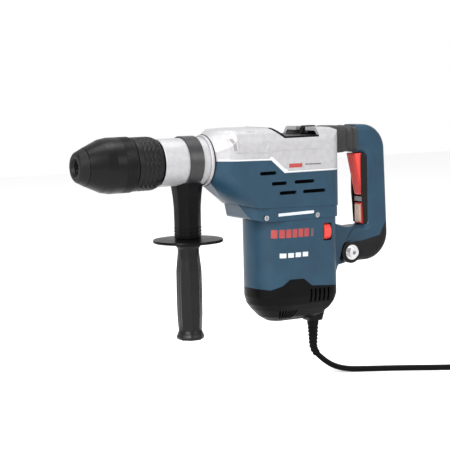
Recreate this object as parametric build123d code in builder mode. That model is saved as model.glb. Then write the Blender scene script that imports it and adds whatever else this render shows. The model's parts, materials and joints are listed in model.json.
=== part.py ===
from build123d import *
import math
import os

# A rotary hammer with a slotted bit holder, held in both hands: the bit holder points along -X and
# +Z is up.  The origin is the middle of the rear grip.  Outlines are given by station, which is
# measured back from the tip of the bit holder, and by height over the spindle's axis.

TIP_X = -461.0  # tip of the bit holder
AXIS_Z = 57.0  # height of the spindle's axis

# Spindle and sleeves
BIT_R = 9.03  # bore for an 18 mm shank
GUIDE_END = 50.0  # end of the bore's front guide
HOLDER_R = 20.0
JOURNAL_R = 22.0  # the holder's bearing seat
TUBE_R = 19.5  # hammer tube, outside
CYLINDER_R = 16.0  # hammer tube, inside
SLEEVE_R = 36.4  # locking sleeve
REAR_SLEEVE_R = 35.3
SLEEVE_GAP = 0.4
FIT = 0.05  # radial clearance of a running fit

# Housing
NECK_R = 31.5
BODY_HALF = 47.0  # half the width of the gear case
MOTOR_HALF = 45.0  # half the width of the motor case
REAR_WALL = 376.5  # back of the gear case
MOTOR_REAR = 373.5
METAL_WALL = 5.0
PLASTIC_WALL = 3.0
LIP_Z = -84.0  # underside of the motor case's collar
FOOT_Z = -226.0  # bottom of the end cap

# Motor and gears: a vertical motor, a crank behind it and a bevel shaft in front of it
MOTOR_S = 297.0
GEAR_MODULE = 1.25
PINION_TEETH = 10
CRANK_TEETH = 46
IDLER_TEETH = 34
CRANK_S = MOTOR_S + GEAR_MODULE * (PINION_TEETH + CRANK_TEETH) / 2
IDLER_S = MOTOR_S - GEAR_MODULE * (PINION_TEETH + IDLER_TEETH) / 2
BEVEL_MODULE = 1.5
BEVEL_TEETH = 10
RING_TEETH = 36
CRANK_THROW = 17.0
ROD_LENGTH = 85.0
PLATE_TOP = -56.0  # top of the bearing plate
SHAFT_R = 5.0

# Side handle
SIDE_S = 160.5
BAND_WIDTH = 20.0
GUARD_R = 47.0
SIDE_END = -238.5

# Rear handle
GRIP_FRONT = 440.0
GRIP_REAR = 477.5
HANDLE_HALF = 18.0
EAR_HALF = 21.0
LUG_HALF = 9.7
ARM_FRONT = 423.0
ARM_TOP = 39.0
PIVOT_S = 409.0
PIVOT_Z = -139.5
BOLT_R = 4.0
TRIGGER_PIVOT = (444.5, -5.5)
PIN_R = 1.5

# Mains cord
CORD_R = 4.0
GLAND_S = 356.0
GLAND_TOP = -232.5
GLAND_STRAIGHT = -267.0  # where the gland starts to bend
GLAND_TIP_R = 5.8
GLAND_BEND_R = 22.0
GLAND_TURN = 42.0
GLAND_HEADING = -24.0
FLOOR_Z = AXIS_Z - 310.25
COIL_X, COIL_Y = 178.9, -88.3
COIL_MEAN_R = 47.0
COIL_WIDTH = 35.0
COIL_HEIGHT = 17.2

SIDE = Plane(origin=(TIP_X, 0, AXIS_Z), x_dir=(1, 0, 0), z_dir=(0, -1, 0))
SPINDLE = Axis((TIP_X, 0, AXIS_Z), (1, 0, 0))

os.makedirs("parts", exist_ok=True)


def save(piece, label):
    piece.part.label = label
    export_step(piece.part, f"parts/{label}.step")


def level(height, station=0.0):
    """A level plane at a height, with its origin at a station."""
    return Plane(origin=(TIP_X + station, 0, AXIS_Z + height))


def across(station, side=0.0, height=0.0):
    """A plane square to the spindle, looking back, with x to +Y and y up."""
    return Plane(
        origin=(TIP_X + station, side, AXIS_Z + height), x_dir=(0, 1, 0), z_dir=(1, 0, 0)
    )


def beside(station, height, side=0.0):
    """A plane parallel to the side view, facing -Y, with its origin at a station and height."""
    return Plane(
        origin=(TIP_X + station, side, AXIS_Z + height), x_dir=(1, 0, 0), z_dir=(0, -1, 0)
    )


def upright(station, side=0.0):
    """A vertical axis."""
    return Axis((TIP_X + station, side, AXIS_Z), (0, 0, 1))


def outline(points, radii=0.0, plane=SIDE, inset=0.0):
    """A closed face through corner points, each rounded by its radius, or set in all round."""
    with BuildSketch(plane) as drawn:
        with BuildLine():
            FilletPolyline(*points, radius=radii, close=True)
        make_face()
        if inset:
            offset(amount=-inset, mode=Mode.REPLACE)
    return drawn.sketch


def slab(points, radii, half_width, mode=Mode.ADD, inset=0.0):
    """A side outline with a width, centred on the middle plane."""
    extrude(outline(points, radii, SIDE, inset), amount=half_width, both=True, mode=mode)


def turned(*points, mode=Mode.ADD, radii=0.0):
    """Turn (station, radius) points about the spindle's axis."""
    revolve(outline(points, radii), axis=SPINDLE, mode=mode)


def turned_upright(station, *points, mode=Mode.ADD, radii=0.0):
    """Turn (radius, height) points about a vertical axis."""
    revolve(outline(points, radii, beside(station, 0)), axis=upright(station), mode=mode)


def disc(plane, radius, height, mode=Mode.ADD):
    """A round bar that rises from a plane."""
    with BuildSketch(plane) as drawn:
        Circle(radius)
    extrude(drawn.sketch, amount=height, mode=mode)


def block(plane, width, depth, height, mode=Mode.ADD, corner=0.0):
    """A bar of rectangular section that rises from a plane."""
    with BuildSketch(plane) as drawn:
        if corner:
            RectangleRounded(width, depth, corner)
        else:
            Rectangle(width, depth)
    extrude(drawn.sketch, amount=height, mode=mode)


def gear_points(teeth, module, slack, phase=0.0, addendum=0.8, dedendum=1.0):
    """The outline of a spur gear with stub teeth of 25 degrees, a tooth's middle at phase degrees."""
    pitch_r = teeth * module / 2
    base_r = pitch_r * math.cos(math.radians(25))
    root_r, tip_r = pitch_r - dedendum * module, pitch_r + addendum * module
    start_r = max(base_r, root_r)

    def roll(radius):
        pressure = math.acos(base_r / radius)
        return math.tan(pressure) - pressure

    half = math.pi / (2 * teeth) - slack / pitch_r + roll(pitch_r)
    steps = [start_r + (tip_r - start_r) * k / 3 for k in range(4)]
    flank = [(r, half - roll(r)) for r in steps]
    if root_r < start_r:
        flank.insert(0, (root_r, flank[0][1]))
    found = []
    for k in range(teeth):
        middle = math.radians(phase) + 2 * math.pi * k / teeth
        tooth = [(r, middle - a) for r, a in flank] + [(r, middle + a) for r, a in reversed(flank)]
        found += [(r * math.cos(a), r * math.sin(a)) for r, a in tooth]
    return found


def gear_face(plane, points):
    with BuildSketch(plane) as drawn:
        with BuildLine():
            Polyline(*points, close=True)
        make_face()
    return drawn.sketch


# ---------------------------------------------------------------- bit holder and hammer tube

with BuildPart() as tool_holder:
    turned((6, BIT_R), (6, 14.5), (7.5, 16), (13, 16), (13, HOLDER_R), (84, HOLDER_R),
           (84, JOURNAL_R), (150, JOURNAL_R), (150, TUBE_R + FIT), (140, TUBE_R + FIT),
           (140, 11.1), (112, 11.1), (112, 9.3), (GUIDE_END, 9.3), (GUIDE_END, BIT_R))
    for side in (-1, 1):
        block(across(58, side * 15), 14, 8.2, 24, Mode.SUBTRACT)
save(tool_holder, "tool_holder")

with BuildPart() as locking_rollers:
    for side in (-1, 1):
        disc(across(58.4, side * 11.3), 4.0, 23.2)
    chamfer(edges().filter_by(GeomType.CIRCLE), 0.8)
save(locking_rollers, "locking_rollers")

with BuildPart() as hammer_tube:
    turned((140.3, CYLINDER_R), (140.3, TUBE_R), (282, TUBE_R), (282, CYLINDER_R + 0.8),
           (281.2, CYLINDER_R))
save(hammer_tube, "hammer_tube")

with BuildPart() as dust_cap:
    turned((0, 12.5), (0, 17), (2.2, 19.6), (11.4, 24.2), (11.4, 16.2), (6, 16.2), (6, 9.8), (4, 9.8),
           radii=(1, 2, 2, 0, 0, 0, 0, 0))
save(dust_cap, "dust_cap")

with BuildPart() as lock_sleeve:
    turned((12, 24.6), (32, 33.6), (52, SLEEVE_R), (73.8, SLEEVE_R), (75, SLEEVE_R - 0.8),
           (75, REAR_SLEEVE_R + SLEEVE_GAP), (66, REAR_SLEEVE_R + SLEEVE_GAP), (66, 31), (30, 31),
           (30, HOLDER_R + 0.3), (12, HOLDER_R + 0.3),
           radii=(1, 6, 8, 0, 0, 0, 0, 0, 0, 0, 0))
save(lock_sleeve, "lock_sleeve")

with BuildPart() as rear_sleeve:
    turned((76, HOLDER_R + FIT), (76, 34.4), (77.2, REAR_SLEEVE_R), (104, REAR_SLEEVE_R),
           (110.5, 33.2), (114.6, 29.4), (114.6, 27.6), (109, 30.4), (101, 32.2), (84, 32.2),
           (84, HOLDER_R + FIT), radii=(0, 0, 0, 8, 4, 0, 0, 0, 0, 0, 0))
save(rear_sleeve, "rear_sleeve")

with BuildPart() as sleeve_spring:
    turned((30.3, 24), (30.3, 27), (75.7, 27), (75.7, 24))
save(sleeve_spring, "sleeve_spring")

BEVEL_PITCH_R = BEVEL_MODULE * BEVEL_TEETH / 2
RING_PITCH_R = BEVEL_MODULE * RING_TEETH / 2
RING_S = IDLER_S - BEVEL_PITCH_R
TOOTH_SHRINK = 0.8  # a bevel tooth's inner end against its outer end
TOOTH_HALF = 0.72  # half a ring tooth's width at the pitch circle


def bevel_tooth(scale):
    """A ring tooth's section at the bottom of the ring, scaled towards the apex of the cones."""
    base = Plane(
        origin=(TIP_X + IDLER_S - BEVEL_PITCH_R * scale, 0, AXIS_Z - RING_PITCH_R * scale),
        x_dir=(0, 1, 0),
        z_dir=(0, 0, 1),
    )
    half, foot, tip = TOOTH_HALF * scale, 1.3 * TOOTH_HALF * scale, 0.6 * TOOTH_HALF * scale
    depth, rise = 1.9 * scale, 0.7 * scale
    corners = [(-foot, depth), (-half, 0), (-tip, -rise), (tip, -rise), (half, 0), (foot, depth)]
    with BuildSketch(base) as drawn:
        with BuildLine():
            Polyline(*corners, close=True)
        make_face()
    return drawn.sketch


with BuildPart() as bevel_tooth_blank:
    loft([bevel_tooth(1.04), bevel_tooth(TOOTH_SHRINK)])

with BuildPart() as bevel_ring_gear:
    turned((250, TUBE_R), (250, 27.5), (252, 28.4), (RING_S - 0.9, 28.4),
           (RING_S + 0.6, 21), (RING_S + 0.6, TUBE_R))
    for k in range(RING_TEETH):
        turn = 360.0 * (k + 0.5) / RING_TEETH
        add(bevel_tooth_blank.part.rotate(SPINDLE, turn))
save(bevel_ring_gear, "bevel_ring_gear")

with BuildPart() as impact_bolt:
    turned((114, 0), (114, 10.2), (115, 11.04), (142.3, 11.04), (144.3, 15.9), (152.3, 15.9),
           (153.3, 11),
           (163, 11), (164, 10), (164, 0))
save(impact_bolt, "impact_bolt")

with BuildPart() as striker:
    turned((168, 0), (168, 9), (170, 10), (179, 10), (180, CYLINDER_R - FIT), (192, CYLINDER_R - FIT),
           (192, 13.5), (195, 13.5), (195, CYLINDER_R - FIT), (213, CYLINDER_R - FIT), (214, 15),
           (214, 0))
save(striker, "striker")

WRIST_S = CRANK_S - CRANK_THROW - ROD_LENGTH

with BuildPart() as piston:
    turned((218, 0), (218, 15.2), (218.8, CYLINDER_R - FIT), (WRIST_S + 14, CYLINDER_R - FIT),
           (WRIST_S + 15, 15), (WRIST_S + 15, 0))
    block(across(WRIST_S - 9.6), 34, 12.8, 40, Mode.SUBTRACT)
    disc(level(-20, WRIST_S), 4.0, 40, Mode.SUBTRACT)
save(piston, "piston")

with BuildPart() as wrist_pin:
    disc(level(-13.6, WRIST_S), 4.0, 27.2)
save(wrist_pin, "wrist_pin")

with BuildPart() as con_rod:
    disc(level(-6, WRIST_S), 9.0, 12)
    disc(level(-6, WRIST_S + ROD_LENGTH), 10.5, 12)
    slab([(WRIST_S, -5), (WRIST_S, 5), (WRIST_S + ROD_LENGTH, 5), (WRIST_S + ROD_LENGTH, -5)], 0, 4.3)
    disc(level(-7, WRIST_S), 4.0 + FIT, 14, Mode.SUBTRACT)
    disc(level(-7, WRIST_S + ROD_LENGTH), 5.4, 14, Mode.SUBTRACT)
save(con_rod, "con_rod")

# ---------------------------------------------------------------- gear train

HALF_PITCH_CRANK = 180.0 / CRANK_TEETH
HALF_PITCH_IDLER = 180.0 / IDLER_TEETH

with BuildPart() as crank_gear:
    teeth = gear_points(CRANK_TEETH, GEAR_MODULE, 0.1, 180 - HALF_PITCH_CRANK)
    extrude(gear_face(level(-50, CRANK_S), teeth), amount=12)
    turned_upright(CRANK_S, (0, -61.5), (7, -61.5), (7, -51), (12, -51), (12, -30), (24, -30),
                   (24, -18), (0, -18))
    disc(level(-18, CRANK_S - CRANK_THROW), SHAFT_R, 9)
save(crank_gear, "crank_gear")

with BuildPart() as idler_gear:
    teeth = gear_points(IDLER_TEETH, GEAR_MODULE, 0.1, HALF_PITCH_IDLER)
    extrude(gear_face(level(-50, IDLER_S), teeth), amount=10)
    turned_upright(IDLER_S, (0, -61.5), (SHAFT_R, -61.5), (SHAFT_R, -51), (8, -51), (8, -38),
                   (SHAFT_R, -36), (SHAFT_R, -33.4), (0, -33.4))
save(idler_gear, "idler_gear")

with BuildPart() as bevel_pinion:
    teeth = gear_points(BEVEL_TEETH, BEVEL_MODULE, 0.34, 180, 0.4, 0.9)
    small = [(x * TOOTH_SHRINK, y * TOOTH_SHRINK) for x, y in teeth]
    loft([gear_face(level(-RING_PITCH_R, IDLER_S), teeth),
          gear_face(level(-RING_PITCH_R * TOOTH_SHRINK, IDLER_S), small)])
    turned_upright(IDLER_S, (0, -33.4), (6.0, -33.4), (6.0, -RING_PITCH_R), (0, -RING_PITCH_R))
save(bevel_pinion, "bevel_pinion")

# ---------------------------------------------------------------- motor

with BuildPart() as armature_shaft:
    turned_upright(MOTOR_S, (0, -211), (4, -211), (SHAFT_R, -210), (SHAFT_R, -54), (0, -54))
    teeth = gear_points(PINION_TEETH, GEAR_MODULE, 0.1)
    extrude(gear_face(level(-54, MOTOR_S), teeth), amount=26)
save(armature_shaft, "armature_shaft")

with BuildPart() as armature_core:
    turned_upright(MOTOR_S, (SHAFT_R, -150), (24.8, -150), (24.8, -98), (SHAFT_R, -98))
    with Locations(level(-150, MOTOR_S)):
        with PolarLocations(23.6, 12):
            Box(5, 2, 52, align=(Align.CENTER, Align.CENTER, Align.MIN), mode=Mode.SUBTRACT)
save(armature_core, "armature_core")

with BuildPart() as commutator:
    turned_upright(MOTOR_S, (SHAFT_R, -186), (13, -186), (13, -164), (16, -164), (16, -160),
                   (SHAFT_R, -160))
save(commutator, "commutator")

with BuildPart() as fan:
    turned_upright(MOTOR_S, (SHAFT_R, -88), (9, -88), (9, -74), (34, -74), (34, -72), (SHAFT_R, -72))
    with Locations(level(-88, MOTOR_S)):
        with PolarLocations(21, 11):
            Box(25, 1.6, 14.5, align=(Align.CENTER, Align.CENTER, Align.MIN))
save(fan, "fan")

with BuildPart() as stator_core:
    turned_upright(MOTOR_S, (25.6, -150), (41.6, -150), (41.6, -98), (25.6, -98))
save(stator_core, "stator_core")

with BuildPart() as field_coils:
    for low in (-158, -97.8):
        turned_upright(MOTOR_S, (27.5, low), (38.5, low), (38.5, low + 7.8), (27.5, low + 7.8))
    block(level(-170, MOTOR_S), 100, 12, 90, Mode.SUBTRACT)
save(field_coils, "field_coils")

with BuildPart() as armature_bearings:
    for low, high in ((-62, PLATE_TOP), (-208, -200)):
        turned_upright(MOTOR_S, (SHAFT_R + FIT, low), (13, low), (13, high), (SHAFT_R + FIT, high))
save(armature_bearings, "armature_bearings")

BRUSH_Z = -179.0
with BuildPart() as brush_holders:
    for side in (-1, 1):
        block(Plane(origin=(TIP_X + MOTOR_S, side * 14.5, AXIS_Z + BRUSH_Z + 5), x_dir=(1, 0, 0),
                    z_dir=(0, side, 0)), 15, 12, 25)
        block(Plane(origin=(TIP_X + MOTOR_S, side * 14, AXIS_Z + BRUSH_Z + 5), x_dir=(1, 0, 0),
                    z_dir=(0, side, 0)), 11.4, 7.4, 23, Mode.SUBTRACT)
save(brush_holders, "brush_holders")

with BuildPart() as carbon_brushes:
    for side in (-1, 1):
        block(Plane(origin=(TIP_X + MOTOR_S, side * 13.3, AXIS_Z + BRUSH_Z + 5), x_dir=(1, 0, 0),
                    z_dir=(0, side, 0)), 11, 7, 17)
save(carbon_brushes, "carbon_brushes")

# ---------------------------------------------------------------- housings

CASE_FRONT = 186.0
GEAR_SIDE = [(CASE_FRONT, 33.6), (197, 39), (230, 41), (272, 40.8), (362, 38.8), (REAR_WALL, 33),
             (REAR_WALL, -69), (242, -65), (215.5, -58), (190.5, -33), (CASE_FRONT, -28)]
GEAR_SIDE_R = (3, 10, 0, 0, 8, 4, 0, 0, 6, 4, 2)
GEAR_PLAN = [(CASE_FRONT, -31), (CASE_FRONT, 31), (209, BODY_HALF), (REAR_WALL, BODY_HALF),
             (REAR_WALL, -BODY_HALF), (209, -BODY_HALF)]
GEAR_PLAN_R = (4, 4, 26, 15, 15, 26)
GEAR_SECTION = [(-BODY_HALF, -90), (-BODY_HALF, 41.2), (BODY_HALF, 41.2), (BODY_HALF, -90)]
GEAR_SECTION_R = (0, 20, 20, 0)
PARTING = [(180, 0), (264, -2), (284.5, -20), (390, -20)]
NOSE_S, NOSE_R, NOSE_SLOPE = 178.0, 26.7, 0.79  # cone about the spindle that the case's front draws in to


def gear_body(inset=0.0):
    """The gear case's whole shape: what its side, plan and cross-section outlines share."""
    with BuildPart() as shape:
        slab(GEAR_SIDE, GEAR_SIDE_R, 60, inset=inset)
        extrude(outline(GEAR_PLAN, GEAR_PLAN_R, level(0), inset), amount=90, both=True,
                mode=Mode.INTERSECT)
        extrude(outline(GEAR_SECTION, GEAR_SECTION_R, across(0), inset), amount=500,
                mode=Mode.INTERSECT)
        nose_r = NOSE_R - inset * math.hypot(1, NOSE_SLOPE)
        wide_r = nose_r + 100 * NOSE_SLOPE
        turned((NOSE_S, 0), (NOSE_S, nose_r), (NOSE_S + 100, wide_r), (500, wide_r), (500, 0),
               mode=Mode.INTERSECT)
    return shape.part


gear_shape = gear_body()
KNOB_S = 354.0
POCKET_Z = 26.6
POCKET_R = 17.5  # round recess about the knob

with BuildPart() as gear_housing:
    add(gear_shape)
    add(gear_body(METAL_WALL), mode=Mode.SUBTRACT)
    slab([(233, -33), (233, 38), (243, 38), (243, -33)], 0, 40)  # wall that carries the tube's bush
    slab([*PARTING, (390, -90), (180, -90)], 0, 60, Mode.SUBTRACT)
    block(across(233, 0, -16.5), 76, 33, 10)  # the wall's lower half, inside the cover
    slab([(266, 42), (286, POCKET_Z), (341, POCKET_Z), (341, 50), (266, 50)], 0, 60, Mode.SUBTRACT)
    disc(level(POCKET_Z, KNOB_S), POCKET_R, 30, Mode.SUBTRACT)
    floor_end = REAR_WALL - 7
    slab([(284, 22), (284, POCKET_Z), (floor_end, POCKET_Z), (floor_end, 22)], 0, 44)  # pocket's floor
    disc(level(18, KNOB_S), 6.2, 20, Mode.SUBTRACT)
    disc(across(180), 30.1, 20, Mode.SUBTRACT)
    disc(across(230), 26 + FIT, 16, Mode.SUBTRACT)
    block(across(REAR_WALL - 8, 0, 20), 26, 26, 9, Mode.SUBTRACT)  # window for the handle's springs
save(gear_housing, "gear_housing")

VENTS = ((246, 272, -19), (264, 288, -33.5), (300, 332, -33), (276, 303, -46.7), (313, 350, -46.6))

with BuildPart() as lower_shell:
    add(gear_shape)
    add(gear_body(PLASTIC_WALL), mode=Mode.SUBTRACT)
    slab([(REAR_WALL - 12, -70), (242, -70), (242, -58), (REAR_WALL - 12, -58)], 0,
         BODY_HALF - PLASTIC_WALL, Mode.SUBTRACT)
    slab([*PARTING, (390, 60), (180, 60)], 0, 60, Mode.SUBTRACT)
    disc(across(180), 30.1, 20, Mode.SUBTRACT)
    for front, rear, height in VENTS:
        with BuildSketch(beside((front + rear) / 2, height, -60)) as slot:
            SlotOverall(rear - front, 4.8)
        extrude(slot.sketch, amount=-120, mode=Mode.SUBTRACT)
save(lower_shell, "lower_shell")

COLLAR_SIDE = [(228, -61.7), (242, -65.2), (REAR_WALL - 1, -69.2), (REAR_WALL - 1, LIP_Z), (254, LIP_Z),
               (238.5, -80.4)]
COLLAR_HALF = BODY_HALF - 0.6
COLLAR_PLAN = [(223.5, -14), (223.5, 14), (251, COLLAR_HALF), (REAR_WALL - 1, COLLAR_HALF),
               (REAR_WALL - 1, -COLLAR_HALF), (251, -COLLAR_HALF)]
COLLAR_PLAN_R = (14, 14, 40, 15, 15, 40)


def motor_plan(inset=0.0):
    """The motor case's plan: round in front, about the motor, and square behind."""
    half = MOTOR_HALF - inset
    rear = MOTOR_REAR - inset
    with BuildSketch(level(0)) as drawn:
        with Locations((MOTOR_S, 0)):
            Circle(half)
        with Locations(((MOTOR_S + rear) / 2, 0)):
            Rectangle(rear - MOTOR_S, 2 * half)
        corners = drawn.vertices().group_by(Axis.X)[-1]
        fillet(corners, max(15 - inset, 4))
    return drawn.sketch


def motor_prism(low, high, inset=0.0, mode=Mode.ADD):
    extrude(motor_plan(inset).moved(Location((0, 0, low))), amount=high - low, mode=mode)


CAP_EDGE = [(240, -176), (267, -179), (281, -173.5), (291.5, -165), (313.5, -165.5), (326.5, -176),
            (390, -181)]
DIAL_S = 353.0
DIAL_Z = -104.0
DIAL_Y = -35.5
DIAL_R = 12.0
SCREW_PLACES = ((256, -79), (337, -80))

with BuildPart() as motor_shell:
    slab(COLLAR_SIDE, (0, 0, 0, 3, 0, 6), 60)
    extrude(outline(COLLAR_PLAN, COLLAR_PLAN_R, level(-90)), amount=50, mode=Mode.INTERSECT)
    motor_prism(-200, LIP_Z)
    slab([(367, -90), (392, -101.5), (401, -103.5), (412, -103.5), (394, -129), (388, -150),
          (382, -166), (367, -172)], (0, 8, 0, 0, 6, 6, 6, 0), EAR_HALF)
    slab([(380, -120), (398, -122), (PIVOT_S, -124.5), (PIVOT_S + 15, PIVOT_Z),
          (PIVOT_S, PIVOT_Z - 15), (380, -160)], (0, 0, 8, 14, 8, 0), LUG_HALF)
    motor_prism(-210, -60, PLASTIC_WALL, Mode.SUBTRACT)
    slab([(260, -50), (260, -80), (MOTOR_REAR - 8, -80), (MOTOR_REAR - 8, -50)], 0, BODY_HALF - 9,
         Mode.SUBTRACT)
    slab([*CAP_EDGE, (390, -220), (240, -220)], 0, 60, Mode.SUBTRACT)
    disc(beside(PIVOT_S, PIVOT_Z, 30), BOLT_R + FIT, 60, Mode.SUBTRACT)
    block(beside(DIAL_S, DIAL_Z, -30), 13.6, 24, 30, Mode.SUBTRACT, corner=1.5)
    for station, height in SCREW_PLACES:
        for side in (-1, 1):
            disc(beside(station, height, side * (BODY_HALF - 4) + 4), 3.7, 8, Mode.SUBTRACT)
save(motor_shell, "motor_shell")

with BuildPart() as housing_screws:
    for station, height in SCREW_PLACES:
        for side in (-1, 1):
            disc(beside(station, height, side * (BODY_HALF - 3.9) + 2.6), 3.5, 5.2)
            with BuildSketch(beside(station, height, side * (BODY_HALF - 3.9) + side * 2.6)) as cross:
                Rectangle(4.2, 1)
                Rectangle(1, 4.2)
            extrude(cross.sketch, amount=1.4 * side, mode=Mode.SUBTRACT)
save(housing_screws, "housing_screws")

CAP_TOP = -155.0
CAP_BOWL = ((CAP_TOP, 0), (-190, 0), (-201, 2.8), (-209, 8.6), (-219.5, 18.5), (FOOT_Z, 29))
CAP_BACK = [(240, CAP_TOP), (240, -240), (352, -240), (361, -208), (365, -200), (MOTOR_REAR + 1, -187),
            (MOTOR_REAR + 1, CAP_TOP)]


def cap_body(inset=0.0):
    """The end cap's whole shape: a bowl that draws in all round towards its foot."""
    with BuildPart() as shape:
        lifts = [0] + [inset] * (len(CAP_BOWL) - 1)
        loft([motor_plan(inset + draw).moved(Location((0, 0, height + lift)))
              for (height, draw), lift in zip(CAP_BOWL, lifts)], ruled=True)
        slab(CAP_BACK, 0, 60, Mode.INTERSECT, inset)
    return shape.part


with BuildPart() as end_cap:
    add(cap_body())
    add(cap_body(PLASTIC_WALL), mode=Mode.SUBTRACT)
    turned_upright(MOTOR_S, (0, FOOT_Z + 1), (17, FOOT_Z + 1), (17, -200), (0, -200))
    disc(level(-208, MOTOR_S), 13 + FIT, 10, Mode.SUBTRACT)
    disc(level(-213, MOTOR_S), SHAFT_R + 1, 10, Mode.SUBTRACT)
    with BuildSketch(level(GLAND_TOP, GLAND_S)) as gland_foot:
        RectangleRounded(22, 24, 6)
    with BuildSketch(level(-204, 345)) as gland_head:
        RectangleRounded(40, 56, 6)
    loft([gland_foot.sketch, gland_head.sketch])
    slab([*CAP_EDGE, (390, -140), (240, -140)], 0, 60, Mode.SUBTRACT)
    with Locations(level(-222, MOTOR_S)):
        for start in (66, 246):
            with PolarLocations(34, 7, start, 48):
                Box(22, 2.4, 13, align=(Align.CENTER, Align.CENTER, Align.MIN), mode=Mode.SUBTRACT)
    for station in range(324, 359, 7):
        slab([(station, -199), (station, -181), (station + 3, -181), (station + 3, -199)], 0, 60,
             Mode.SUBTRACT)
    disc(level(-240, GLAND_S), CORD_R + 0.2, 40, Mode.SUBTRACT)
save(end_cap, "end_cap")

with BuildPart() as bearing_plate:
    extrude(outline([(245, -37), (245, 37), (MOTOR_REAR - 9, 37), (MOTOR_REAR - 9, -37)], 8,
                    level(-62)), amount=6)
    disc(level(-70, MOTOR_S), 13 + FIT, 20, Mode.SUBTRACT)
    disc(level(-70, CRANK_S), 7 + FIT, 20, Mode.SUBTRACT)
    disc(level(-70, IDLER_S), SHAFT_R + FIT, 20, Mode.SUBTRACT)
save(bearing_plate, "bearing_plate")

with BuildPart() as neck_housing:
    turned((115.6, 30), (115.6, 31), (116.2, NECK_R), (181.5, NECK_R), (181.5, 33.2), (182.4, 34),
           (185.8, 34), (185.8, 30), (192, 30), (192, 26), (141, 26), (141, 30))
save(neck_housing, "neck_housing")

with BuildPart() as front_bearing:
    turned((127, JOURNAL_R + FIT), (127, 29.9), (140.5, 29.9), (140.5, JOURNAL_R + FIT))
save(front_bearing, "front_bearing")

with BuildPart() as spindle_seal:
    turned((116, JOURNAL_R + 0.3), (116, 29.9), (120, 29.9), (120, JOURNAL_R + 0.3))
save(spindle_seal, "spindle_seal")

with BuildPart() as tube_bush:
    turned((233, TUBE_R + FIT), (233, 26), (243, 26), (243, TUBE_R + FIT))
save(tube_bush, "tube_bush")

with BuildPart() as control_module:
    block(level(-140, 355.5), 25, 40, 52, corner=2)
save(control_module, "control_module")

with BuildPart() as speed_dial:
    disc(across(DIAL_S - 5, DIAL_Y, DIAL_Z), DIAL_R, 10)
    with Locations(across(DIAL_S - 6, DIAL_Y, DIAL_Z)):
        with PolarLocations(DIAL_R, 24):
            Box(1.4, 1.6, 12, align=(Align.CENTER, Align.CENTER, Align.MIN), mode=Mode.SUBTRACT)
save(speed_dial, "speed_dial")

# ---------------------------------------------------------------- mode selector on the top

with BuildPart() as selector_plate:
    add(gear_shape)
    slab([(267, 41.6), (286.2, POCKET_Z + 0.1), (341, POCKET_Z + 0.1), (341, POCKET_Z + 2.5),
          (288, POCKET_Z + 2.5), (271.5, 42.5)], 0, 60, Mode.INTERSECT)
    disc(level(POCKET_Z + 0.1, KNOB_S), POCKET_R - 0.2, 2.4)
    disc(level(18, KNOB_S), 6.2, 20, Mode.SUBTRACT)
save(selector_plate, "selector_plate")

with BuildPart() as mode_knob:
    turned_upright(KNOB_S, (0, 22), (5.9, 22), (5.9, 30), (12, 30), (12.5, 30.8), (11.6, 35),
                   (10.2, 36), (0, 36))
    slab([(KNOB_S - 12.6, 31), (KNOB_S - 11.6, 37.4), (KNOB_S - 8.6, 40.4), (KNOB_S + 7.6, 40.4),
          (KNOB_S + 11, 36), (KNOB_S + 11.4, 31)], (0, 2, 2, 2, 1, 0), 4.6)
save(mode_knob, "mode_knob")

# ---------------------------------------------------------------- side handle

with BuildPart() as handle_bracket:
    turned_upright(SIDE_S, (4.3, -102.5), (17.4, -102.5), (17.4, -62), (18.6, -46), (20.3, -34),
                   (20.3, -15), (4.3, -15), radii=(0, 1, 6, 6, 0, 0, 0))
    disc(across(130), NECK_R + 0.3, 60, Mode.SUBTRACT)
save(handle_bracket, "handle_bracket")

with BuildPart() as clamp_band:
    band_front, band_rear = SIDE_S - BAND_WIDTH / 2, SIDE_S + BAND_WIDTH / 2
    turned((band_front, NECK_R + 0.3), (band_front, NECK_R + 2.2), (band_rear, NECK_R + 2.2),
           (band_rear, NECK_R + 0.3))
    turned_upright(SIDE_S, (0, -80), (20.4, -80), (20.4, -10), (0, -10), mode=Mode.SUBTRACT)
save(clamp_band, "clamp_band")

with BuildPart() as guard_disc:
    turned_upright(SIDE_S, (4.3, -108.6), (20, -108.6), (21, -106), (45, -106.4), (46.4, -107.2),
                   (GUARD_R, -106), (46.4, -103.6), (22, -102.6), (4.3, -102.6))
save(guard_disc, "guard_disc")

with BuildPart() as clamp_rod:
    disc(level(-178, SIDE_S), 4.0, 143)
save(clamp_rod, "clamp_rod")

with BuildPart() as side_grip:
    turned_upright(SIDE_S, (4.3, -109), (17, -109), (17, -112.5), (14.2, -116), (14.2, -121),
                   (17, -146), (16.7, -205), (16.7, -225), (18.6, -232), (18.6, -238),
                   (16, SIDE_END), (0, SIDE_END), (0, -182), (4.3, -182),
                   radii=(0, 1, 1, 2, 4, 20, 0, 4, 2, 2, 1, 0, 0, 0))
save(side_grip, "side_grip")

# ---------------------------------------------------------------- rear handle

GRIP_TOP_REAR = 471.0  # the back leans forward to this station at the top
HANDLE_FOOT = -153.5
TONGUE_FRONT = 400.0
SKIN = 3.4  # thickness of the soft cover down the back
HANDLE_OUTER = [(ARM_FRONT, ARM_TOP), (GRIP_TOP_REAR, ARM_TOP), (GRIP_REAR, HANDLE_FOOT),
                (391, HANDLE_FOOT), (391, -128), (411.5, -104), (GRIP_FRONT, -103.5), (GRIP_FRONT, 0),
                (ARM_FRONT, 0)]
HANDLE_R = (0, 36, 38, 16, 10, 0, 6, 9, 0)
JACKET = [(GRIP_TOP_REAR + 0.6 - SKIN, 20), (490, 20), (490, -170), (380, -170), (380, -125), (428, -125),
          (460, -119), (GRIP_REAR - 2 - SKIN, -96)]

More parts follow.
